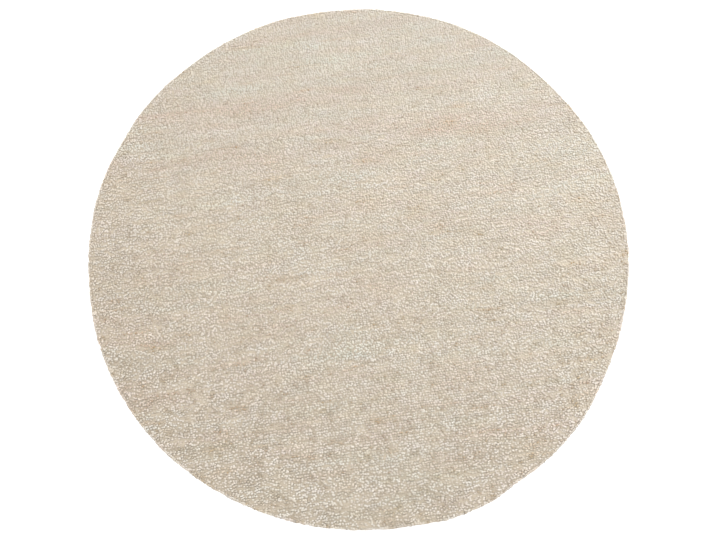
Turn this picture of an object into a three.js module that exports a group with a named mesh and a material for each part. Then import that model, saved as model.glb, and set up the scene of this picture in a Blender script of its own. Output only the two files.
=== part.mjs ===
// A round boucle rug, lying flat on the floor.
//
// The rug is one piece of cloth: rows of uncut wool loops stand on a woven ground, and the cloth is
// cut round and turned under at its rim. So the model is one closed solid, a flat slab as thick as
// ground and loops together. Its underside is flat. Its rim is rounded, because the outermost loops
// lean outwards, and its outline is as uneven as a hand-made one. The single loops are left out.
//
// Units are millimetres, +Z is up and z = 0 is the floor. The rows of loops run along X.

import * as THREE from 'three';

// Driving dimensions of the rug.
const DIAMETER = 2000; // mean width across the loops
const THICKNESS = 12; // from the floor to the crowns of the loops

// The rim, seen in section. The cloth leaves the floor a little inside the outermost loops, bulges
// out to them, and the loops above fall back to the level of the pile.
const TURN_UNDER = 4; // how far the flat underside stays inside the outline
const TURN_RISE = 4; // height at which the turned edge reaches the outline
const SHOULDER_DROP = 6; // height over which the loops round off at the rim
const SHOULDER_WIDTH = 10; // width over which they do so

// Fineness of the faceted surface.
const STEPS_ROUND = 132; // facets along the rim
const STEPS_TURN = 2; // facets of the turned edge in section
const STEPS_SHOULDER = 4; // facets of the shoulder in section
const PILE_RINGS = 13; // rings from the shoulder in to the centre

// The outline is a circle that swells or draws in at a few places, where the rim was cut by hand. Each
// place has a heading from +X in degrees, half its width along the rim in degrees, and its swell.
const OUTLINE_BULGES = [
	{ heading: 12, halfWidth: 13, swell: 4 },
	{ heading: 53, halfWidth: 14, swell: 5.5 },
	{ heading: 90, halfWidth: 8, swell: - 4 },
	{ heading: 138, halfWidth: 8, swell: 4.5 },
	{ heading: 160, halfWidth: 9, swell: 4 },
	{ heading: 184, halfWidth: 6, swell: - 3 },
	{ heading: 248, halfWidth: 22, swell: - 4.5 },
	{ heading: 284, halfWidth: 8, swell: 10 },
	{ heading: 306, halfWidth: 10, swell: 5 },
	{ heading: 332, halfWidth: 14, swell: - 5.5 },
];

// The pile is not quite level either. Long shallow waves cross it, each with a length from crest to
// crest, a rise above and below the mean, and the direction in which it runs, from +X.
const PILE_WAVES = [
	{ length: 760, rise: 0.4, heading: 82 },
	{ length: 430, rise: 0.3, heading: 24 },
	{ length: 310, rise: 0.3, heading: 131 },
];

// Radius of the outline in one direction, as a share of its mean. Each bulge is a flat-topped bell.
function outlineShare( angle ) {

	const radius = DIAMETER / 2;
	let share = 1;
	for ( const { heading, halfWidth, swell } of OUTLINE_BULGES ) {

		const turn = THREE.MathUtils.radToDeg( angle ) - heading;
		const away = THREE.MathUtils.euclideanModulo( turn + 180, 360 ) - 180;
		share += ( swell / radius ) * Math.exp( - ( ( away / halfWidth ) ** 4 ) );

	}

	return share;

}

// Rise or dip of the pile at a place on the rug.
function pileSwell( x, y ) {

	let rise = 0;
	for ( const wave of PILE_WAVES ) {

		const heading = THREE.MathUtils.degToRad( wave.heading );
		const along = x * Math.cos( heading ) + y * Math.sin( heading );
		rise += wave.rise * Math.sin( ( 2 * Math.PI * along ) / wave.length );

	}

	return rise;

}

// Section of the rug from the centre of the underside, out round the rim and back to the centre of
// the pile. Turned edge and shoulder are quarter ellipses.
function rugSection() {

	const radius = DIAMETER / 2;
	const floorRadius = radius - TURN_UNDER;
	const pileRadius = radius - SHOULDER_WIDTH;
	const shoulderFoot = THICKNESS - SHOULDER_DROP;
	const section = [ new THREE.Vector2( 0, 0 ) ];

	for ( let i = 0; i <= STEPS_TURN; i ++ ) {

		const t = ( ( i / STEPS_TURN ) * Math.PI ) / 2;
		const out = floorRadius + TURN_UNDER * Math.sin( t );
		const up = TURN_RISE * ( 1 - Math.cos( t ) );
		section.push( new THREE.Vector2( out, up ) );

	}

	for ( let i = 0; i <= STEPS_SHOULDER; i ++ ) {

		const t = ( ( i / STEPS_SHOULDER ) * Math.PI ) / 2;
		const out = pileRadius + SHOULDER_WIDTH * Math.cos( t );
		const up = shoulderFoot + SHOULDER_DROP * Math.sin( t );
		section.push( new THREE.Vector2( out, up ) );

	}

	for ( let i = PILE_RINGS - 1; i >= 0; i -- ) {

		section.push( new THREE.Vector2( ( pileRadius * i ) / PILE_RINGS, THICKNESS ) );

	}

	return section;

}

// The rug: the section turned round the upright axis, then drawn out to the uneven outline. The swell
// of the pile grows with height, so that the underside stays flat.
function makeRug() {

	const geometry = new THREE.LatheGeometry( rugSection(), STEPS_ROUND );
	geometry.rotateX( Math.PI / 2 );

	const place = geometry.getAttribute( 'position' );
	for ( let i = 0; i < place.count; i ++ ) {

		const share = outlineShare( Math.atan2( place.getY( i ), place.getX( i ) ) );
		const x = place.getX( i ) * share;
		const y = place.getY( i ) * share;
		const z = place.getZ( i );
		place.setXYZ( i, x, y, z + pileSwell( x, y ) * ( z / THICKNESS ) );

	}

	geometry.computeVertexNormals();
	geometry.computeBoundingBox();

	const wool = new THREE.MeshStandardMaterial( {
		color: 0xd2c7b6,
		roughness: 0.95,
		metalness: 0,
	} );

	const rug = new THREE.Mesh( geometry, wool );
	rug.name = 'rug';

	// The origin is the middle of the rug's box, on the floor.
	const middle = geometry.boundingBox.getCenter( new THREE.Vector3() );
	rug.position.set( - middle.x, - middle.y, 0 );
	return rug;

}

const boucleRug = new THREE.Group();
boucleRug.add( makeRug() );

export default boucleRug;
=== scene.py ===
# %% [markdown]
# # A round boucle rug
#
# This file is a lesson in cells. It dresses one flat round rug: a woven ground cloth that is turned
# under at its rim, and about forty-seven thousand small wool loops that stand on it in close rows.
# Everything is in metres, +Z is up, z = 0 is the floor, and the rows of loops run along X.
#
# The first cell loads the rug's plain solid. It is never changed here. It says how large the rug is
# and where it lies, and the pieces made below take its place.

# %% Load the plain rug
import math

import bpy
import numpy as np
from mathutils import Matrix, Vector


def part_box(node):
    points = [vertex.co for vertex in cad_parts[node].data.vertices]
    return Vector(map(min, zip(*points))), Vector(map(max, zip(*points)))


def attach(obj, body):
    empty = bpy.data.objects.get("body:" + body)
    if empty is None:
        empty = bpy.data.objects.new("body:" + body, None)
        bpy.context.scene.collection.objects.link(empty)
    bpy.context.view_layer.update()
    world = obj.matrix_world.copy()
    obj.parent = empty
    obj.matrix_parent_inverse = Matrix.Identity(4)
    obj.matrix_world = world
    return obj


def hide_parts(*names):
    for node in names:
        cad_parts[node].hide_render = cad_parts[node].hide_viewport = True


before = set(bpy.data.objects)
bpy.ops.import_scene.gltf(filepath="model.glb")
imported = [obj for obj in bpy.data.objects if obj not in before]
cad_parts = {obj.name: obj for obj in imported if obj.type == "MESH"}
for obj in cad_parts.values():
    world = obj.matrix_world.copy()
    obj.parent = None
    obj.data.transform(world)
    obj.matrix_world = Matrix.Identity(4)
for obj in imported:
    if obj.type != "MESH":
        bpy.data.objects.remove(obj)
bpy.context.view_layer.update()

rug_low, rug_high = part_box("rug")
print("the plain rug reaches from", rug_low, "to", rug_high)

# %% [markdown]
# ## Sizes
#
# A weaver would give a rug like this in four numbers: how wide it is, how far apart its rows are, how
# far apart the loops stand in a row, and how high they stand. The rest follows from the yarn: soft
# boucle yarn that is pressed wide where the loops touch.
#
# The loops are drawn at their true size, so there are a great many of them. That is why each loop
# below has only 18 triangles, and its finest detail is left to the material.

# %% Sizes of the rug
MEAN_RADIUS = 1.0
ROW_PITCH = 0.00778
LOOP_PITCH = 0.0088
CROWN_HEIGHT = float(rug_high[2]) - 0.0005
GROUND_TOP = 0.0068
LOOP_HEIGHT = CROWN_HEIGHT - GROUND_TOP

YARN_HALF_WIDTH = 0.0044
YARN_HALF_THICKNESS = 0.0026
SEED = 20

rng = np.random.default_rng(SEED)
print("loops stand", round(LOOP_HEIGHT * 1000, 1), "mm above their ground")

# %% [markdown]
# ## The outline
#
# A hand-cut rug is never a true circle. Its outline could be traced point by point, but it is easier to
# read as a circle that swells or draws in at a few places, as one sees them when looking along the rim
# in the photo. Each place has a heading and half its width along the rim, both in degrees, and how far
# it swells the radius, in metres.
#
# The plain solid was moved so that the middle of its box is the origin, and its rim has flat facets.
# The same facets are used here to find the same shift.

# %% The uneven outline
BULGE = np.dtype([("heading", float), ("half_width", float), ("swell", float)])
OUTLINE_BULGES = np.array(
    [
        (12, 13, 0.0040),
        (53, 14, 0.0055),
        (90, 8, -0.0040),
        (138, 8, 0.0045),
        (160, 9, 0.0040),
        (184, 6, -0.0030),
        (248, 22, -0.0045),
        (284, 8, 0.0100),
        (306, 10, 0.0050),
        (332, 14, -0.0055),
    ],
    dtype=BULGE,
)
CAD_FACETS = 132


def outline_radius(angle):
    """Radius of the rim in one direction: the mean radius plus a flat-topped bell for each bulge."""
    turn = np.degrees(np.asarray(angle))[..., None] - OUTLINE_BULGES["heading"]
    away = (turn + 180) % 360 - 180
    bells = np.exp(-((away / OUTLINE_BULGES["half_width"]) ** 4))
    return MEAN_RADIUS + (OUTLINE_BULGES["swell"] * bells).sum(-1)


facet_angle = np.arange(CAD_FACETS) * 2 * np.pi / CAD_FACETS
facet_x = outline_radius(facet_angle) * np.cos(facet_angle)
facet_y = outline_radius(facet_angle) * np.sin(facet_angle)
MIDDLE = np.array([facet_x.max() + facet_x.min(), facet_y.max() + facet_y.min()]) / 2
print("the middle of the box is", np.round(MIDDLE * 1000, 2), "mm from the middle of the circle")

# %% [markdown]
# ## Laying points on the cloth
#
# The loops stand square to their ground, and the ground turns down round the rim. One function does
# that for every loop: it takes a place on the flat cloth and a height above the cloth, and gives the
# place in the room. Inside the rim the height is simply added to z. Near the rim the height is swung
# outwards on a small circle, as far as the cloth has run past the start of the bend.

# %% Cloth to room
BEND_RADIUS = 0.0025
BEND_CENTRE_HEIGHT = GROUND_TOP - BEND_RADIUS
LARGEST_TURN = math.radians(95)
BEND_INSET = BEND_RADIUS + LOOP_HEIGHT
RIM_SLACK = 0.0004
LOWEST_WOOL = 0.0002


def lay_on_cloth(x, y, height):
    """Room coordinates of a point that lies at x, y on the flat cloth and stands height above it.
    Past the start of the bend, the distance run along the cloth becomes an angle about the bend's
    centre, and both reach and height are measured on that circle. Loops that would stand out past
    the rim are pressed back to it."""
    angle = np.arctan2(y, x)
    reach = np.hypot(x, y)
    rim = outline_radius(angle)
    start = rim - BEND_INSET
    turn = np.clip((reach - start) / BEND_RADIUS, 0, LARGEST_TURN)
    arm = BEND_RADIUS + height
    out = np.minimum(reach, start) + arm * np.sin(turn)
    out = np.minimum(out, rim + RIM_SLACK * (out - rim) / LOOP_HEIGHT)
    up = np.maximum(BEND_CENTRE_HEIGHT + arm * np.cos(turn), LOWEST_WOOL)
    return np.stack([out * np.cos(angle) - MIDDLE[0], out * np.sin(angle) - MIDDLE[1], up], axis=-1)


# %% [markdown]
# ## A helper that puts arrays into a mesh
#
# Blender can be handed whole arrays. Vertices, the corners of all faces one after another, and the
# number of corners of each face are enough. It is hundreds of times faster than adding faces one by
# one, which matters with nearly a million of them.

# %% Arrays to mesh


def mesh_from_arrays(name, points, corners, sizes):
    """A mesh object from points (n, 3), the faces' corners in one row, and each face's corner count."""
    mesh = bpy.data.meshes.new(name)
    mesh.vertices.add(len(points))
    mesh.vertices.foreach_set("co", points.astype(np.float32).ravel())
    mesh.loops.add(len(corners))
    mesh.loops.foreach_set("vertex_index", corners.astype(np.int32))
    mesh.polygons.add(len(sizes))
    starts = np.concatenate([[0], np.cumsum(sizes)[:-1]])
    mesh.polygons.foreach_set("loop_start", starts.astype(np.int32))
    mesh.update(calc_edges=True)
    mesh.shade_smooth()
    piece = bpy.data.objects.new(name, mesh)
    bpy.context.scene.collection.objects.link(piece)
    return piece


# %% [markdown]
# ## The ground cloth
#
# Under the loops is a woven ground, turned under at the rim and sewn down. It could be a disc with a
# Solidify modifier, but the turned edge is easier to give as a section: a line of points from the
# middle of the underside, out round the rim and back to the middle of the top. Underneath, the cloth
# lies flat on the floor, lifts over the inner edge of the hem and drops down its step. The section is
# carried round the rim, and follows the outline in each direction.

# %% Section of the ground cloth
HEM_WIDTH = 0.034
HEM_STEP = 0.0010
LIFT_WIDTH = 0.0012
STEP_WIDTH = 0.0003
GROUND_TURNS = 240
BEND_STEPS = 6
FIELD_RINGS = 6


def ground_section():
    """Points (inset from the outline, height): flat field, lift, hem step, then the bend, which is
    half an ellipse from the underside to the top."""
    hem = LOOP_HEIGHT + HEM_WIDTH
    under = np.array(
        [
            (hem + 2 * LIFT_WIDTH, 0.0),
            (hem + LIFT_WIDTH, 0.0),
            (hem + LIFT_WIDTH / 2, HEM_STEP / 2),
            (hem + 2 * STEP_WIDTH, HEM_STEP),
            (hem + STEP_WIDTH, HEM_STEP),
            (hem, HEM_STEP / 4),
            (hem - STEP_WIDTH, 0.0),
            (hem - 4 * STEP_WIDTH, 0.0),
            (LOOP_HEIGHT + 3 * BEND_RADIUS, 0.0),
        ]
    )
    turn = np.linspace(0, np.pi, BEND_STEPS + 1)
    inset = LOOP_HEIGHT + BEND_RADIUS * (1 - np.sin(turn))
    rise = GROUND_TOP / 2 * (1 - np.cos(turn))
    return np.concatenate([under, np.stack([inset, rise], axis=-1)])


def make_ground():
    """The closed ground cloth. Its underside and top are flat fields of rings round two middle points,
    joined by the hem and the bend. Faces of the underside and the bend have the first material, and
    the faces between the loops the second."""
    section = ground_section()
    turns = np.arange(GROUND_TURNS) * 2 * np.pi / GROUND_TURNS
    radius = outline_radius(turns)
    share = np.arange(1, FIELD_RINGS) / FIELD_RINGS
    under_reach = share[:, None] * (radius - section[0, 0])
    rim_reach = radius - section[:, :1]
    top_reach = share[::-1, None] * (radius - section[-1, 0])
    reach = np.concatenate([under_reach, rim_reach, top_reach])
    field = np.ones(len(share))
    rise = np.concatenate([section[0, 1] * field, section[:, 1], section[-1, 1] * field])
    rings = len(reach)
    grid = np.empty((rings, GROUND_TURNS, 3))
    grid[..., 0] = reach * np.cos(turns) - MIDDLE[0]
    grid[..., 1] = reach * np.sin(turns) - MIDDLE[1]
    grid[..., 2] = rise[:, None]
    middles = np.array([[-MIDDLE[0], -MIDDLE[1], section[0, 1]], [-MIDDLE[0], -MIDDLE[1], section[-1, 1]]])
    points = np.concatenate([grid.reshape(-1, 3), middles])

    turn = np.arange(GROUND_TURNS)
    onward = (turn + 1) % GROUND_TURNS
    ring = np.arange(rings - 1)[:, None] * GROUND_TURNS
    next_ring = ring + GROUND_TURNS
    quads = np.stack([ring + turn, ring + onward, next_ring + onward, next_ring + turn], axis=-1)
    middle = np.full(GROUND_TURNS, rings * GROUND_TURNS)
    last = (rings - 1) * GROUND_TURNS
    under_fan = np.stack([middle, onward, turn], axis=-1)
    top_fan = np.stack([middle + 1, last + turn, last + onward], axis=-1)
    corners = np.concatenate([quads.ravel(), under_fan.ravel(), top_fan.ravel()])
    quad_count = (rings - 1) * GROUND_TURNS
    sizes = np.repeat([4, 3], [quad_count, 2 * GROUND_TURNS])
    piece = mesh_from_arrays("woven_ground", points, corners, sizes)
    under_quads = (len(share) + len(section) - 1) * GROUND_TURNS
    counts = [under_quads, quad_count - under_quads, GROUND_TURNS, GROUND_TURNS]
    piece.data.polygons.foreach_set("material_index", np.repeat([0, 1, 0, 1], counts).astype(np.int32))
    return piece


woven_ground = make_ground()
print("the ground cloth has", len(woven_ground.data.polygons), "faces")

# %% [markdown]
# ## Where the loops stand
#
# Rows run along X. A hand loom doesn't beat every row equally hard: here the rows are a little
# further apart towards the near edge, which is a growth by the same share from row to row. The rows
# also wander slowly, and each has its own start, so that its loops don't line up with the next row's.
# The whole field is worked out as one array, and the loops that fall outside the cloth are dropped.
# Boucle yarn curls as it likes, so a loop may lie in any direction. Towards the near edge the rows
# still show in the photo, and there the loops lie more nearly along them.

# %% Places of the loops
ROW_GROWTH = 0.05
ROW_WANDER = 0.0018
ROW_WANDER_LENGTH = 0.83
ROW_WANDER_START = 1.3
LOOP_JITTER = 0.22
ROW_CALM = 0.65
ROW_CALM_START = 0.2
ROW_CALM_WIDTH = 0.5
FIELD_INSET = BEND_INSET + 0.003


def row_place(row):
    """The y of a row: even steps, stretched so that each is wider than the last by a fixed share."""
    return (1 - np.exp(-ROW_GROWTH * ROW_PITCH * row)) / ROW_GROWTH


def row_of(y):
    """The row that passes a y, the other way round."""
    return -np.log(1 - ROW_GROWTH * y) / (ROW_GROWTH * ROW_PITCH)


def calmness(y):
    """How well the rows show at a y: 0 over most of the rug, rising to 1 towards the near edge."""
    return np.clip((-y - ROW_CALM_START) / ROW_CALM_WIDTH, 0, 1)


half_rows = int(MEAN_RADIUS / ROW_PITCH * (1 + ROW_GROWTH)) + 2
half_columns = int(MEAN_RADIUS / LOOP_PITCH) + 3
row_count = 2 * half_rows + 1
row, column = np.meshgrid(
    np.arange(-half_rows, half_rows + 1), np.arange(-half_columns, half_columns + 1), indexing="ij"
)
field_x = (column + rng.random(row_count)[:, None]) * LOOP_PITCH
field_x = field_x + rng.normal(0, LOOP_JITTER, field_x.shape) * LOOP_PITCH
field_y = row_place(row) + ROW_WANDER * np.sin(2 * np.pi * field_x / ROW_WANDER_LENGTH + ROW_WANDER_START)
inside = np.hypot(field_x, field_y) < outline_radius(np.arctan2(field_y, field_x)) - FIELD_INSET
field_x, field_y = field_x[inside], field_y[inside]
field_turn = rng.uniform(-np.pi / 2, np.pi / 2, len(field_x)) * (1 - ROW_CALM * calmness(field_y))
print(len(field_x), "loops in", row_count, "rows")

# %% [markdown]
# ## Loops on the fold
#
# Where the cloth turns under, its loops fan out and cover the fold, and the rim looks full. Whatever
# rows happen to cross there are bent round with the cloth. Three rings of loops, which run along the
# rim at three steps of the bend, give that full and even edge.

# %% Rings of loops round the rim
RIM_TURNS = np.radians([18, 55, 90])
RIM_LOOP_PITCH = 0.0085
RIM_JITTER = 0.12
RIM_TURN_SPREAD = math.radians(35)

rim_count = int(2 * np.pi * MEAN_RADIUS / RIM_LOOP_PITCH)
rim_start = rng.random((len(RIM_TURNS), 1))
rim_angle = np.arange(rim_count) + rim_start + rng.normal(0, RIM_JITTER, (len(RIM_TURNS), rim_count))
rim_angle = rim_angle * 2 * np.pi / rim_count
rim_reach = outline_radius(rim_angle) - BEND_INSET + BEND_RADIUS * RIM_TURNS[:, None]
rim_x = (rim_reach * np.cos(rim_angle)).ravel()
rim_y = (rim_reach * np.sin(rim_angle)).ravel()
rim_turn = rim_angle.ravel() + np.pi / 2 + rng.normal(0, RIM_TURN_SPREAD, rim_x.shape)

loop_x = np.concatenate([field_x, rim_x])
loop_y = np.concatenate([field_y, rim_y])
loop_turn = np.concatenate([field_turn, rim_turn])
loop_row = np.clip(np.rint(row_of(loop_y)).astype(int) + half_rows, 0, 2 * half_rows)
loop_count = len(loop_x)
print(len(rim_x), "loops round the rim,", loop_count, "in all")

# %% [markdown]
# ## Things that change along a row
#
# Hand-spun yarn changes slowly along its length: it gets thicker and thinner, and lighter and darker.
# Such a change could be a noise texture in the material, but it belongs to the yarn, so it is worked
# out for each loop. A field of random numbers, one row of cells for each row of loops, is blurred along
# the rows and a little across them. Each loop then reads the field at its place.

# %% Changes along the rows
STREAK_CELL = 0.004
STREAK_HALF_WIDTH = 1.1 * MEAN_RADIUS


def smooth(values, reach, axis):
    """Values blurred along one axis by a bell curve of that reach in cells, then scaled back to a
    spread of one. Blurring is done on the waves that make up the values: short waves are weakened."""
    waves = np.fft.rfft(values, axis=axis)
    frequency = np.fft.rfftfreq(values.shape[axis])
    bell = np.exp(-2 * (np.pi * frequency * reach) ** 2)
    shape = [1, 1]
    shape[axis] = -1
    blurred = np.fft.irfft(waves * bell.reshape(shape), values.shape[axis], axis=axis)
    return blurred / blurred.std()


def row_change(length, rows):
    """A value for each loop that changes slowly along its row, over about that length in metres, and
    is shared with about that many rows to each side. The values spread by one."""
    columns = int(2 * STREAK_HALF_WIDTH / STREAK_CELL)
    field = smooth(rng.normal(size=(row_count, columns)), length / STREAK_CELL, 1)
    if rows > 0:
        field = smooth(field, rows, 0)
    cell = (loop_x + STREAK_HALF_WIDTH) / STREAK_CELL
    left = np.clip(cell.astype(int), 0, columns - 2)
    part = cell - left
    return field[loop_row, left] * (1 - part) + field[loop_row, left + 1] * part


# %% [markdown]
# ## The tone of each loop
#
# The wool is undyed, and no two lengths of it have quite the same shade. Three numbers say how a loop
# differs from the plain wool: its tone is lighter or darker, its blush is pinker or greener, and its tan
# is yellower or greyer. Each is a sum of long faint streaks, short clumps and a change of the loop's own.
# Dark clumps are stronger than light ones. Here and there a thin thread of tan wool has been spun in,
# and here and there one loop is a brown fleck. The wool is most mixed towards the near edge.

# %% Tone, blush and tan
FLECK_SHARE = 0.12
FLECK_TONE = -0.24
THREAD_LEVEL = 1.0
MOST_THREAD = 1.5
LEAST_TONE = -0.36
LINE_TONE = 0.017
BAND_TONE = 0.008
CLOUD_TONE = 0.005
CLUMP_TONE = 0.045
LOOP_TONE = 0.026
THREAD_TONE = -0.028
THREAD_BLUSH = 0.7
THREAD_TAN = 2.5
CLUMP_LIMITS = (-1.6, 2.0)
CLUMP_SKEW = 0.25
TAN_SKEW = 0.12
MIXED_NEAR = 0.9
MIXED_RIGHT = -0.15
LEAST_MIXED = 0.1

near = -loop_y / MEAN_RADIUS
mixed = np.maximum(1 + MIXED_NEAR * near + MIXED_RIGHT * loop_x, LEAST_MIXED)

tone = LINE_TONE * row_change(0.03, 0)
tone = tone + BAND_TONE * row_change(0.08, 1.2) + CLOUD_TONE * row_change(0.3, 5)
clump = np.clip(row_change(0.006, 0.7), *CLUMP_LIMITS)
tone = tone + CLUMP_TONE * mixed * (clump - CLUMP_SKEW * (clump**2 - 1))
tone = tone + LOOP_TONE * mixed * rng.normal(size=loop_count)
tone = tone + FLECK_TONE * (rng.random(loop_count) < FLECK_SHARE * mixed)

blush = 0.45 * row_change(0.06, 1.0) + 0.3 * row_change(0.12, 3) + 0.1 * rng.normal(size=loop_count)
blush = blush + 0.35 * np.clip(0.3 - near, 0.2, 1) * row_change(0.3, 3)
tan = row_change(0.02, 1.4)
tan = tan + TAN_SKEW * (tan**2 - 1)

thread = np.clip(row_change(0.03, 0.6) - THREAD_LEVEL, 0, MOST_THREAD)
tone = tone + THREAD_TONE * thread
blush = blush + THREAD_BLUSH * thread
tan = tan + THREAD_TAN * thread
print("tone spreads by", round(float(tone.std()), 3))

# %% [markdown]
# ## The streaks one can point at
#
# Chance gives the right amount of streakiness, but not the marks that make this rug this one: a dark
# thread left of the middle, a long tan line near the far edge, pale bands between them. They are listed
# one by one, each with its place, its half length and half width in metres, how much lighter or darker
# it makes the wool, and how much pinker (above zero) or greener (below zero). Dark ones are tan as well.

# %% Streaks listed one by one
STREAK = np.dtype([(word, float) for word in ("x", "y", "half_length", "half_width", "tone", "blush")])
STREAKS = np.array(
    [
        (-0.78, 0.575, 0.08, 0.007, -0.06, 0.8),
        (-0.62, 0.605, 0.10, 0.008, -0.05, 0.8),
        (-0.73, 0.375, 0.06, 0.009, -0.08, 2.0),
        (-0.76, 0.250, 0.045, 0.005, -0.18, 0.0),
        (-0.63, 0.100, 0.05, 0.006, -0.12, 0.8),
        (-0.28, -0.120, 0.05, 0.009, -0.18, 0.8),
        (-0.78, -0.115, 0.10, 0.012, -0.07, 0.5),
        (-0.61, -0.120, 0.05, 0.007, -0.08, 0.0),
        (-0.80, -0.040, 0.06, 0.007, -0.06, 0.0),
        (-0.45, 0.000, 0.06, 0.006, -0.07, 0.0),
        (-0.03, -0.020, 0.06, 0.006, -0.07, 0.0),
        (0.40, -0.040, 0.06, 0.006, -0.07, 0.0),
        (0.43, -0.330, 0.06, 0.008, -0.15, 2.0),
        (0.75, -0.335, 0.15, 0.007, -0.09, 1.5),
        (0.75, -0.200, 0.06, 0.006, -0.07, 0.0),
        (0.71, -0.245, 0.06, 0.006, -0.07, 0.0),
        (0.25, 0.145, 0.06, 0.007, -0.07, 0.0),
        (0.23, 0.350, 0.06, 0.007, -0.07, 1.0),
        (0.50, 0.365, 0.08, 0.007, -0.06, 1.0),
        (0.33, 0.650, 0.27, 0.008, -0.06, 1.5),
        (0.04, 0.620, 0.07, 0.014, -0.05, 1.5),
        (0.61, 0.745, 0.07, 0.007, -0.06, 0.8),
        (0.47, 0.690, 0.07, 0.007, -0.06, 0.8),
        (-0.03, 0.400, 0.06, 0.007, -0.06, 0.8),
        (-0.07, 0.570, 0.06, 0.007, -0.06, 0.8),
        (0.37, 0.440, 0.12, 0.012, -0.04, 1.0),
        (0.60, 0.380, 0.12, 0.012, -0.04, 1.0),
        (0.25, -0.830, 0.15, 0.028, -0.04, 0.5),
        (-0.07, -0.945, 0.07, 0.014, -0.08, 0.5),
        (-0.43, -0.630, 0.07, 0.010, -0.08, 0.0),
        (-0.43, -0.845, 0.07, 0.007, -0.09, 0.0),
        (-0.35, -0.470, 0.15, 0.006, -0.07, 0.0),
        (-0.70, -0.465, 0.07, 0.008, -0.07, 1.0),
        (-0.15, -0.800, 0.07, 0.007, -0.08, 0.0),
        (0.08, -0.710, 0.06, 0.007, -0.08, 0.0),
        (0.57, -0.655, 0.07, 0.007, -0.08, 0.0),
        (0.87, 0.440, 0.05, 0.007, -0.08, 0.0),
        (0.95, 0.170, 0.04, 0.007, -0.08, 0.0),
        (-0.43, 0.505, 0.22, 0.010, 0.05, -0.8),
        (0.11, 0.830, 0.06, 0.012, 0.05, 0.0),
        (0.12, 0.200, 0.06, 0.008, 0.07, -0.5),
        (-0.52, 0.205, 0.10, 0.010, 0.05, -1.0),
        (0.72, 0.320, 0.08, 0.010, 0.05, 0.0),
        (0.60, 0.520, 0.12, 0.032, 0.03, 0.0),
        (-0.12, -0.420, 0.12, 0.014, 0.05, -1.0),
        (0.80, -0.355, 0.10, 0.007, 0.05, 0.0),
        (0.25, -0.280, 0.08, 0.007, 0.06, 0.0),
        (-0.15, -0.660, 0.07, 0.007, 0.06, 0.0),
        (0.67, -0.120, 0.12, 0.022, 0.03, 0.0),
        (-0.40, 0.620, 0.35, 0.035, 0.0, 1.2),
        (0.15, 0.620, 0.25, 0.030, 0.0, 1.0),
        (-0.60, 0.400, 0.30, 0.035, 0.0, 1.0),
        (0.40, 0.400, 0.28, 0.030, 0.0, 1.0),
        (-0.30, 0.500, 0.40, 0.022, 0.0, -1.2),
        (-0.28, 0.260, 0.50, 0.040, 0.0, -1.0),
        (0.00, -0.410, 0.30, 0.030, 0.0, -1.0),
    ],
    dtype=STREAK,
)
STREAK_STRENGTH = 1.2
STREAK_TAN = 22
STREAK_BLUSH = 0.6


def streak_shares(x, y):
    """How much of each streak a loop takes: a flat-topped bell along the row, a plain bell across it."""
    along = (x[:, None] - STREAKS["x"]) / STREAKS["half_length"]
    across = (y[:, None] - STREAKS["y"]) / STREAKS["half_width"]
    return np.exp(-(along**4) - across**2)


shares = streak_shares(loop_x, loop_y)
tone = tone + STREAK_STRENGTH * shares @ STREAKS["tone"]
blush = blush + STREAK_BLUSH * shares @ STREAKS["blush"]
tan = tan - STREAK_TAN * shares @ STREAKS["tone"]
tone = np.maximum(tone, LEAST_TONE)
print(len(STREAKS), "streaks placed by hand")

# %% [markdown]
# ## The size and lie of each loop
#
# Boucle is all slubs: thick and thin places in the yarn. A slub makes its loop high and wide, and a
# thin place sinks between its neighbours and leaves a small pit, so low loops are lower than high ones
# are high. In most of the rug the loops have shifted out of their rows. Near the middle of the near
# edge they are beaten tight, and there the yarn is narrower and spans further, so that each row is a
# low ridge. Towards the far edge the loops lie calmer too.

# %% Size and lie
LOOSE_SHIFT = 0.0026
FAR_SHARE = 0.45
FAR_START = 0.4
FAR_WIDTH = 0.12
TIGHT_SHARE = 0.35
TIGHT_PLACE = (0.0, -0.62)
TIGHT_REACH = (0.45, 0.22)
RIM_SHIFT_SHARE = 0.3
LEAN_SPREAD = 0.25
THIN_SINK, THIN_POWER = 1.2, 1.7
THICK_RISE, THICK_POWER = 0.7, 1.2
MEAN_HEIGHT = 0.93
HEIGHT_SPREAD = 0.09
HEIGHT_NEAR = 0.7
HEIGHT_LIMITS = (0.6, 1.02)
SWELL_LIMITS = (0.6, 1.4)

tight_x = (loop_x - TIGHT_PLACE[0]) / TIGHT_REACH[0]
tight_y = (loop_y - TIGHT_PLACE[1]) / TIGHT_REACH[1]
tight = np.exp(-(tight_x**2) - tight_y**2)
far = 1 / (1 + np.exp(-(loop_y - FAR_START) / FAR_WIDTH))
looseness = 1 - (1 - TIGHT_SHARE) * tight - (1 - FAR_SHARE) * far
looseness[len(field_x):] *= RIM_SHIFT_SHARE

slub = 0.8 * row_change(0.006, 0.7) + 0.6 * rng.normal(size=loop_count)
thin = -THIN_SINK * np.abs(slub) ** THIN_POWER
thick = THICK_RISE * np.abs(slub) ** THICK_POWER
slub = np.where(slub < 0, thin, thick)
calm = calmness(loop_y)
loop_span = LOOP_PITCH * (rng.uniform(0.6, 1.0, loop_count) + 0.2 * calm)
rise = MEAN_HEIGHT + HEIGHT_SPREAD * (1 + HEIGHT_NEAR * near) * slub
loop_height = LOOP_HEIGHT * np.clip(rise, *HEIGHT_LIMITS)
swell = np.clip(1.0 + 0.12 * slub + 0.14 * rng.normal(size=loop_count), *SWELL_LIMITS)
loop_width = YARN_HALF_WIDTH * (1 - 0.08 * near - 0.08 * calm) * swell
loop_lean = rng.normal(0, LEAN_SPREAD, loop_count)
shift = 0.5 * row_change(0.008, 0) + 0.85 * rng.normal(size=loop_count)
loop_y = loop_y + LOOSE_SHIFT * looseness * shift
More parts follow.
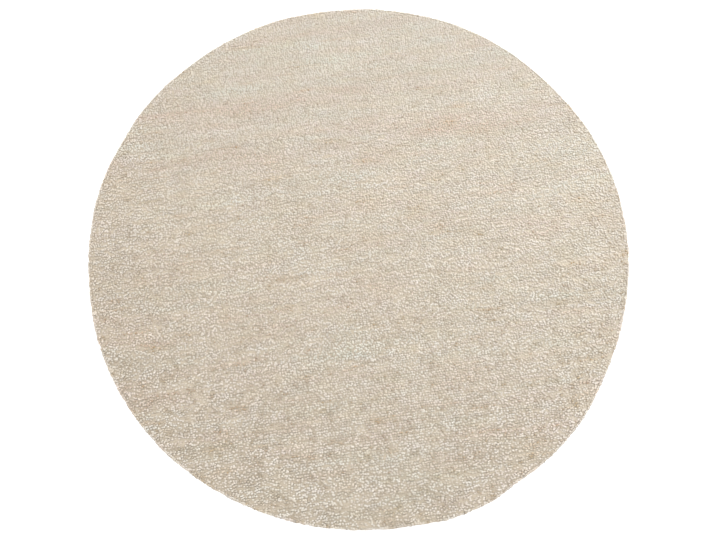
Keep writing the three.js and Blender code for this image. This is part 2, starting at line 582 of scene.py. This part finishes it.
print("loops are", np.round(np.quantile(loop_height, [0.05, 0.95]) * 1000, 1), "mm high")

# %% [markdown]
# ## The shape of a loop
#
# A loop is a short arch of soft yarn: it comes up out of the ground, bends over and goes down again.
# A real tube with round ends would need hundreds of faces. This one has two pointed feet, which are
# hidden in the ground, and three rings of three points between them, and smooth shading makes it look
# round. All the loops are worked out at once: one array holds the place of each loop, station and ring
# point.
#
# The pieces also get a UV map. Here it isn't for a picture: U is the distance along the yarn in metres
# and V goes once round it, so that the material can twist the yarn's plies round it.

# %% Shape of the loops
STATION_ALONG = np.array([-1.0, -0.66, 0.0, 0.66, 1.0])
STATION_HEIGHT = np.array([-0.18, 0.48, 1.0, 0.48, -0.18])
STATION_TILT = np.radians([0, -48, 0, 48, 0])
STATION_WIDTH = np.array([0.0, 0.86, 1.0, 0.86, 0.0])
STATION_LENGTH = np.array([0.0, 0.0045, 0.0085, 0.0125, 0.017])
RING_SIDE = np.array([0.0, -1.0, 1.0])
RING_UP = np.array([1.0, -0.35, -0.35])
RING_POINTS = 3
LOOP_POINTS = 2 + 3 * RING_POINTS


def loop_parts():
    """Corners of one loop's faces, the station and the turn round the yarn of each corner, and the
    number of corners of each face: a fan at each foot, and quads between the three rings."""
    ring = 1 + np.arange(3 * RING_POINTS).reshape(3, RING_POINTS)
    onward = np.roll(ring, -1, axis=1)
    foot = np.zeros(RING_POINTS, int)
    fans = [
        np.stack([foot, onward[0], ring[0]], axis=-1),
        np.stack([foot + LOOP_POINTS - 1, ring[2], onward[2]], axis=-1),
    ]
    quads = np.stack([ring[:-1], onward[:-1], onward[1:], ring[1:]], axis=-1)
    corners = np.concatenate([fans[0].ravel(), fans[1].ravel(), quads.ravel()])
    station = (corners + RING_POINTS - 1) // RING_POINTS
    here = np.arange(RING_POINTS) / RING_POINTS
    there = here + 1 / RING_POINTS
    half = (here + there) / 2
    fan_turns = [np.stack([half, there, here], axis=-1), np.stack([half, here, there], axis=-1)]
    quad_turns = np.tile(np.stack([here, there, there, here], axis=-1), (2, 1, 1))
    turns = np.concatenate([fan_turns[0].ravel(), fan_turns[1].ravel(), quad_turns.ravel()])
    return corners, station, turns, np.repeat([3, 4], 2 * RING_POINTS)


def make_loops(name, x, y, turn, span, height, width, lean):
    """Loops as one mesh. In a loop's own frame a point is its station's place along the yarn, plus
    the ring's offset sideways and square to the yarn. The lean moves it sideways with its height."""
    count = len(x)
    centre_height = (height - YARN_HALF_THICKNESS)[:, None] * STATION_HEIGHT
    along_yarn = (span / 2)[:, None] * STATION_ALONG
    thick = YARN_HALF_THICKNESS * (width / YARN_HALF_WIDTH)
    side = (width[:, None] * STATION_WIDTH)[..., None] * RING_SIDE
    square = (thick[:, None] * (STATION_WIDTH > 0))[..., None] * RING_UP
    tilt = STATION_TILT[None, :, None]
    u = along_yarn[..., None] + square * np.sin(tilt)
    w = centre_height[..., None] + square * np.cos(tilt)
    v = side + lean[:, None, None] * np.clip(w, 0, None)
    cos, sin = np.cos(turn)[:, None, None], np.sin(turn)[:, None, None]
    room = lay_on_cloth(x[:, None, None] + u * cos - v * sin, y[:, None, None] + u * sin + v * cos, w)
    inner = room[:, 1:4].reshape(count, 3 * RING_POINTS, 3)
    points = np.concatenate([room[:, 0, :1], inner, room[:, 4, :1]], axis=1)
    corners, station, turns, sizes = loop_parts()
    all_corners = (np.arange(count)[:, None] * LOOP_POINTS + corners).ravel()
    piece = mesh_from_arrays(name, points.reshape(-1, 3), all_corners, np.tile(sizes, count))
    yarn = np.tile(np.stack([STATION_LENGTH[station], turns], axis=-1), (count, 1))
    layer = piece.data.uv_layers.new(name="yarn")
    layer.data.foreach_set("uv", yarn.astype(np.float32).ravel())
    return piece


# %% [markdown]
# ## Keeping the tone and the painted shade on the mesh
#
# An attribute is a table with one line per vertex. Here each loop's colour is worked out from its tone,
# blush and tan and written to all eleven of its points. Shade is painted into it as well: the feet are
# painted darker and warmer, as the shade and the reddened light down between the loops would be, and
# the sides of each loop are painted a little darker than its crown.

# %% Colour attribute
WOOL = np.array([0.709, 0.626, 0.537])
TONE_TINT = np.array([0.82, 1.0, 1.25])
BLUSH_SHIFT = np.array([0.000, -0.0190, -0.0190])
TAN_SHIFT = np.array([0.000, -0.003, -0.010])
# Painted shade for the eleven points of a loop, foot to foot: feet and sides darker than the crown.
FOOT_PAINTED_SHADE = [0.62]
SHOULDER_PAINTED_SHADE = [0.98, 0.92, 0.92]
CROWN_PAINTED_SHADE = [1.0, 0.98, 0.98]
POINT_PAINTED_SHADE = np.array(FOOT_PAINTED_SHADE + SHOULDER_PAINTED_SHADE + CROWN_PAINTED_SHADE + SHOULDER_PAINTED_SHADE + FOOT_PAINTED_SHADE)
PAINTED_SHADE_WARMTH = np.array([1.0, 1.08, 1.22])
LEAST_COLOUR, MOST_COLOUR = 0.02, 0.95


def give_colour(piece, loop_tone, loop_blush, loop_tan):
    """Writes the colour attribute: red, green and blue for each point, the loop's own colour times painted
    shade.
    """
    colour = WOOL * (1 + loop_tone[:, None] * TONE_TINT)
    colour = colour + BLUSH_SHIFT * loop_blush[:, None] + TAN_SHIFT * loop_tan[:, None]
    # painted shade: each point is darkened by its place on the loop, and warmed where it is darker
    points = colour[:, None, :] * POINT_PAINTED_SHADE[None, :, None] ** PAINTED_SHADE_WARMTH
    rgba = np.ones((len(loop_tone) * LOOP_POINTS, 4), np.float32)
    rgba[:, :3] = np.clip(points.reshape(-1, 3), LEAST_COLOUR, MOST_COLOUR)
    layer = piece.data.attributes.new("wool_tone_and_painted_shade", "FLOAT_COLOR", "POINT")
    layer.data.foreach_set("color", rgba.ravel())


# %% [markdown]
# ## Making the loops in five bands
#
# One mesh with all the loops would be hard to handle, so the rug is made as a weaver makes it, in
# bands of rows, from the near edge to the far one.

# %% Bands of rows
BAND_COUNT = 5
band_edges = np.quantile(loop_row, np.linspace(0, 1, BAND_COUNT + 1))
loop_band = np.clip(np.searchsorted(band_edges, loop_row, side="right") - 1, 0, BAND_COUNT - 1)
bands = []
triangles = 0
for band in range(BAND_COUNT):
    pick = loop_band == band
    lie = (loop_x, loop_y, loop_turn, loop_span, loop_height, loop_width, loop_lean)
    piece = make_loops(f"boucle_band_{band + 1}", *(values[pick] for values in lie))
    give_colour(piece, tone[pick], blush[pick], tan[pick])
    bands.append(piece)
    piece.data.calc_loop_triangles()
    triangles += len(piece.data.loop_triangles)
    print(piece.name, "has", int(pick.sum()), "loops,", len(piece.data.loop_triangles), "triangles")
print("all bands together have", triangles, "triangles")

# %% [markdown]
# ## Wool
#
# Wool is matt, with a soft sheen where light grazes its fibres. The colour comes from the attribute, with
# its painted shade. Two things are too small for the mesh: the twist of the yarn's two plies, which is a
# sine of the UV map, and the fibres, which are a fine noise in Object coordinates. The fibres mottle the
# colour a little, and the twist paints shade into it, darker in the grooves between the plies. Both drive
# a bump, so that close up the yarn isn't smooth.

# %% Wool material
PLY_PITCH = 0.0045
PLY_COUNT = 2
# Painted shade: the colour swings by this share with the twist, darker in the grooves between the plies.
PLY_PAINTED_SHADE = 0.05
PLY_BUMP = 0.4


def math_node(tree, operation, first, second, third=0.0):
    """A Math node. Each input is either a number or an output socket. Returns its output socket."""
    node = tree.nodes.new("ShaderNodeMath")
    node.operation = operation
    for socket, value in zip(node.inputs, (first, second, third)):
        if isinstance(value, (int, float)):
            socket.default_value = value
        else:
            tree.links.new(value, socket)
    return node.outputs["Value"]


def make_wool():
    """The loops' material."""
    material = bpy.data.materials.new("undyed_wool")
    material.use_nodes = True
    tree = material.node_tree
    nodes = tree.nodes
    link = tree.links.new
    shader = nodes["Principled BSDF"]
    shader.inputs["Sheen Weight"].default_value = 0.25
    shader.inputs["Sheen Roughness"].default_value = 0.5
    shader.inputs["Specular IOR Level"].default_value = 0.2

    place = nodes.new("ShaderNodeTexCoord")
    fibre = nodes.new("ShaderNodeTexNoise")
    fibre.inputs["Scale"].default_value = 1400
    fibre.inputs["Detail"].default_value = 3
    link(place.outputs["Object"], fibre.inputs["Vector"])

    yarn = nodes.new("ShaderNodeUVMap")
    yarn.uv_map = "yarn"
    parts = nodes.new("ShaderNodeSeparateXYZ")
    link(yarn.outputs["UV"], parts.inputs["Vector"])
    round_yarn = math_node(tree, "MULTIPLY", parts.outputs["Y"], 2 * math.pi * PLY_COUNT)
    phase = math_node(tree, "MULTIPLY_ADD", parts.outputs["X"], 2 * math.pi / PLY_PITCH, round_yarn)
    twist = math_node(tree, "SINE", phase, 0.0)

    mottle = nodes.new("ShaderNodeMapRange")
    mottle.inputs["To Min"].default_value = 0.86
    mottle.inputs["To Max"].default_value = 1.14
    link(fibre.outputs["Fac"], mottle.inputs["Value"])
    shade = nodes.new("ShaderNodeAttribute")
    shade.attribute_name = "wool_tone_and_painted_shade"
    tint = nodes.new("ShaderNodeVectorMath")
    tint.operation = "SCALE"
    link(shade.outputs["Color"], tint.inputs[0])
    # painted shade from the ply twist, on top of the fibre mottle
    link(math_node(tree, "MULTIPLY_ADD", twist, PLY_PAINTED_SHADE, mottle.outputs["Result"]), tint.inputs["Scale"])
    link(tint.outputs["Vector"], shader.inputs["Base Color"])

    rough = nodes.new("ShaderNodeMapRange")
    rough.inputs["To Min"].default_value = 0.8
    rough.inputs["To Max"].default_value = 1.0
    link(fibre.outputs["Fac"], rough.inputs["Value"])
    link(rough.outputs["Result"], shader.inputs["Roughness"])

    bump = nodes.new("ShaderNodeBump")
    bump.inputs["Strength"].default_value = 0.5
    bump.inputs["Distance"].default_value = 0.0006
    link(math_node(tree, "MULTIPLY_ADD", twist, PLY_BUMP, fibre.outputs["Fac"]), bump.inputs["Height"])
    link(bump.outputs["Normal"], shader.inputs["Normal"])
    return material


wool = make_wool()
for piece in bands:
    piece.data.materials.append(wool)

# %% [markdown]
# ## Ground cloth materials
#
# The ground is a plain weave of the same undyed wool. From below one sees its weft threads, which show
# as short rounded floats between the warp threads, each row half a step from the next. That is exactly
# how bricks are laid, so a Brick texture in Object coordinates makes it, with threads for bricks and
# the gaps between them for mortar. A noise that is stretched along the rows gives it the bars that
# hand-spun weft makes. The same weave shows between the loops, where its colours are painted darker:
# painted shade under the loops.

# %% Ground materials
FLOAT_LENGTH = 0.0105
THREAD_GAP = 0.0007
BAR_SCALE = (2.0, 45.0, 1.0)
BAR_STRENGTH = 0.5


def make_weave(name, pale, dark, gap):
    """A plain weave: floats of two shades laid like bricks, raised above the gaps between them, with
    a fibre noise like the wool's, and slow bars of lighter and darker wool along the rows."""
    material = bpy.data.materials.new(name)
    material.use_nodes = True
    tree = material.node_tree
    nodes = tree.nodes
    link = tree.links.new
    shader = nodes["Principled BSDF"]
    shader.inputs["Specular IOR Level"].default_value = 0.2
    shader.inputs["Sheen Weight"].default_value = 0.15
    place = nodes.new("ShaderNodeTexCoord")
    weave = nodes.new("ShaderNodeTexBrick")
    weave.inputs["Color1"].default_value = (*pale, 1)
    weave.inputs["Color2"].default_value = (*dark, 1)
    weave.inputs["Mortar"].default_value = (*gap, 1)
    weave.inputs["Scale"].default_value = 1
    weave.inputs["Mortar Size"].default_value = THREAD_GAP
    weave.inputs["Mortar Smooth"].default_value = 1
    weave.inputs["Brick Width"].default_value = FLOAT_LENGTH
    weave.inputs["Row Height"].default_value = ROW_PITCH / 2
    link(place.outputs["Object"], weave.inputs["Vector"])
    fibre = nodes.new("ShaderNodeTexNoise")
    fibre.inputs["Scale"].default_value = 900
    fibre.inputs["Detail"].default_value = 3
    link(place.outputs["Object"], fibre.inputs["Vector"])
    mottle = nodes.new("ShaderNodeMapRange")
    mottle.inputs["To Min"].default_value = 0.84
    mottle.inputs["To Max"].default_value = 1.16
    link(fibre.outputs["Fac"], mottle.inputs["Value"])
    stretch = nodes.new("ShaderNodeMapping")
    stretch.inputs["Scale"].default_value = BAR_SCALE
    link(place.outputs["Object"], stretch.inputs["Vector"])
    bars = nodes.new("ShaderNodeTexNoise")
    bars.inputs["Scale"].default_value = 1
    bars.inputs["Detail"].default_value = 4
    link(stretch.outputs["Vector"], bars.inputs["Vector"])
    bar_tone = math_node(tree, "MULTIPLY_ADD", bars.outputs["Fac"], BAR_STRENGTH, -BAR_STRENGTH / 2)
    tint = nodes.new("ShaderNodeVectorMath")
    tint.operation = "SCALE"
    link(weave.outputs["Color"], tint.inputs[0])
    link(math_node(tree, "ADD", mottle.outputs["Result"], bar_tone), tint.inputs["Scale"])
    link(tint.outputs["Vector"], shader.inputs["Base Color"])
    rough = nodes.new("ShaderNodeMapRange")
    rough.inputs["To Min"].default_value = 0.85
    rough.inputs["To Max"].default_value = 1.0
    link(fibre.outputs["Fac"], rough.inputs["Value"])
    link(rough.outputs["Result"], shader.inputs["Roughness"])
    bump = nodes.new("ShaderNodeBump")
    bump.inputs["Strength"].default_value = 0.7
    bump.inputs["Distance"].default_value = 0.0008
    fuzz = math_node(tree, "MULTIPLY", fibre.outputs["Fac"], 0.3)
    raised = math_node(tree, "SUBTRACT", fuzz, weave.outputs["Fac"])
    link(raised, bump.inputs["Height"])
    link(bump.outputs["Normal"], shader.inputs["Normal"])
    return material


BACK_COLOURS = [(0.70, 0.62, 0.52), (0.63, 0.55, 0.455), (0.40, 0.33, 0.25)]
# Painted shade: the weave between the loops gets darker colours than the underside.
INNER_PAINTED_SHADE_COLOURS = [(0.60, 0.51, 0.405), (0.55, 0.465, 0.365), (0.50, 0.42, 0.325)]
under_weave = make_weave("woven_back", *BACK_COLOURS)
inner_weave = make_weave("woven_ground_cloth", *INNER_PAINTED_SHADE_COLOURS)
woven_ground.data.materials.append(under_weave)
woven_ground.data.materials.append(inner_weave)

# %% [markdown]
# ## What stands for what
#
# Every piece rides on the rug's one body, and the ground cloth and its loops together stand for the
# plain solid.

for piece in [woven_ground, *bands]:
    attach(piece, "root")
    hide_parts("rug")

# %% [markdown]
# ## The floor
#
# The rug lies on a plain pale floor, so bright that it runs out to white, as in a shop's picture. A
# little light of its own keeps the soft shadow round the rim just as pale.

# %% Floor
FLOOR_SIZE = 60.0
FLOOR_GLOW = 0.3


def make_floor():
    """A large flat sheet at z = 0."""
    half = FLOOR_SIZE / 2
    points = np.array([[-half, -half, 0], [half, -half, 0], [half, half, 0], [-half, half, 0]])
    floor = mesh_from_arrays("floor", points, np.arange(4), np.array([4]))
    material = bpy.data.materials.new("pale_floor")
    material.use_nodes = True
    shader = material.node_tree.nodes["Principled BSDF"]
    shader.inputs["Base Color"].default_value = (0.94, 0.94, 0.94, 1)
    shader.inputs["Roughness"].default_value = 0.9
    shader.inputs["Emission Color"].default_value = (1, 1, 1, 1)
    shader.inputs["Emission Strength"].default_value = FLOOR_GLOW
    floor.data.materials.append(material)
    return floor


floor = make_floor()

# %% [markdown]
# ## Light
#
# A rug is shot in a white room: most light comes from everywhere, which is the world's colour. Two large
# soft boxes stand behind the rug, the stronger and cooler one on the right. They give the loops their
# small shadows, and make the far right a little brighter and cooler than the near left.

# %% Light
bpy.context.scene.view_settings.view_transform = "Standard"
world = bpy.data.worlds.new("studio")
world.use_nodes = True
world.node_tree.nodes["Background"].inputs["Color"].default_value = (1.0, 0.99, 0.97, 1)
world.node_tree.nodes["Background"].inputs["Strength"].default_value = 1.02
bpy.context.scene.world = world


def facing(place, aim, roll=0.0):
    """A 4 by 4 matrix that stands something at place and points its own -Z at aim, rolled clockwise."""
    back = np.array(place, float) - np.array(aim, float)
    back = back / np.linalg.norm(back)
    side = np.cross([0.0, 0.0, 1.0], back)
    side = side / np.linalg.norm(side)
    up = np.cross(back, side)
    turn = np.eye(4)
    turn[:3, 0] = math.cos(roll) * side + math.sin(roll) * up
    turn[:3, 1] = math.cos(roll) * up - math.sin(roll) * side
    turn[:3, 2] = back
    turn[:3, 3] = place
    return turn.T


def make_softbox(name, place, size, power, colour):
    """A square area light at a place, pointing at the middle of the rug."""
    data = bpy.data.lights.new(name, "AREA")
    data.shape = "SQUARE"
    data.size = size
    data.energy = power
    data.color = colour
    box = bpy.data.objects.new(name, data)
    box.matrix_world = facing(place, (0, 0, 0))
    box.visible_camera = False
    bpy.context.scene.collection.objects.link(box)


SOFTBOX_SIZE = 2.2
make_softbox("key_light", (1.5, 0.6, 2.0), SOFTBOX_SIZE, 44, (0.86, 1.0, 1.10))
make_softbox("side_light", (-1.3, 1.7, 2.1), SOFTBOX_SIZE, 22, (0.98, 1.0, 1.0))

# %% [markdown]
# ## Camera
#
# The camera stands in front of the rug and looks steeply down, a little from the left. Its lens is a
# little wide, so the near edge is drawn slightly larger than the far one.

# %% Camera
CAMERA_AZIMUTH = math.radians(-8.6)
CAMERA_ELEVATION = math.radians(72.8)
CAMERA_DISTANCE = 1.905
CAMERA_ROLL = math.radians(0.43)
LENS = 25.74
SENSOR = 36.0
AIM = np.array([-0.0205, -0.1206, 0.0])


def make_camera():
    """The camera, placed from its azimuth, elevation and distance to the rug's middle."""
    data = bpy.data.cameras.new("camera")
    data.lens = LENS
    data.sensor_width = SENSOR
    camera = bpy.data.objects.new("camera", data)
    rug_middle = np.array([-MIDDLE[0], -MIDDLE[1], BEND_CENTRE_HEIGHT])
    across = math.cos(CAMERA_ELEVATION)
    away = np.array(
        [
            across * math.sin(CAMERA_AZIMUTH),
            -across * math.cos(CAMERA_AZIMUTH),
            math.sin(CAMERA_ELEVATION),
        ]
    )
    camera.matrix_world = facing(rug_middle + CAMERA_DISTANCE * away, rug_middle + AIM, CAMERA_ROLL)
    bpy.context.scene.collection.objects.link(camera)
    return camera


bpy.context.scene.camera = make_camera()
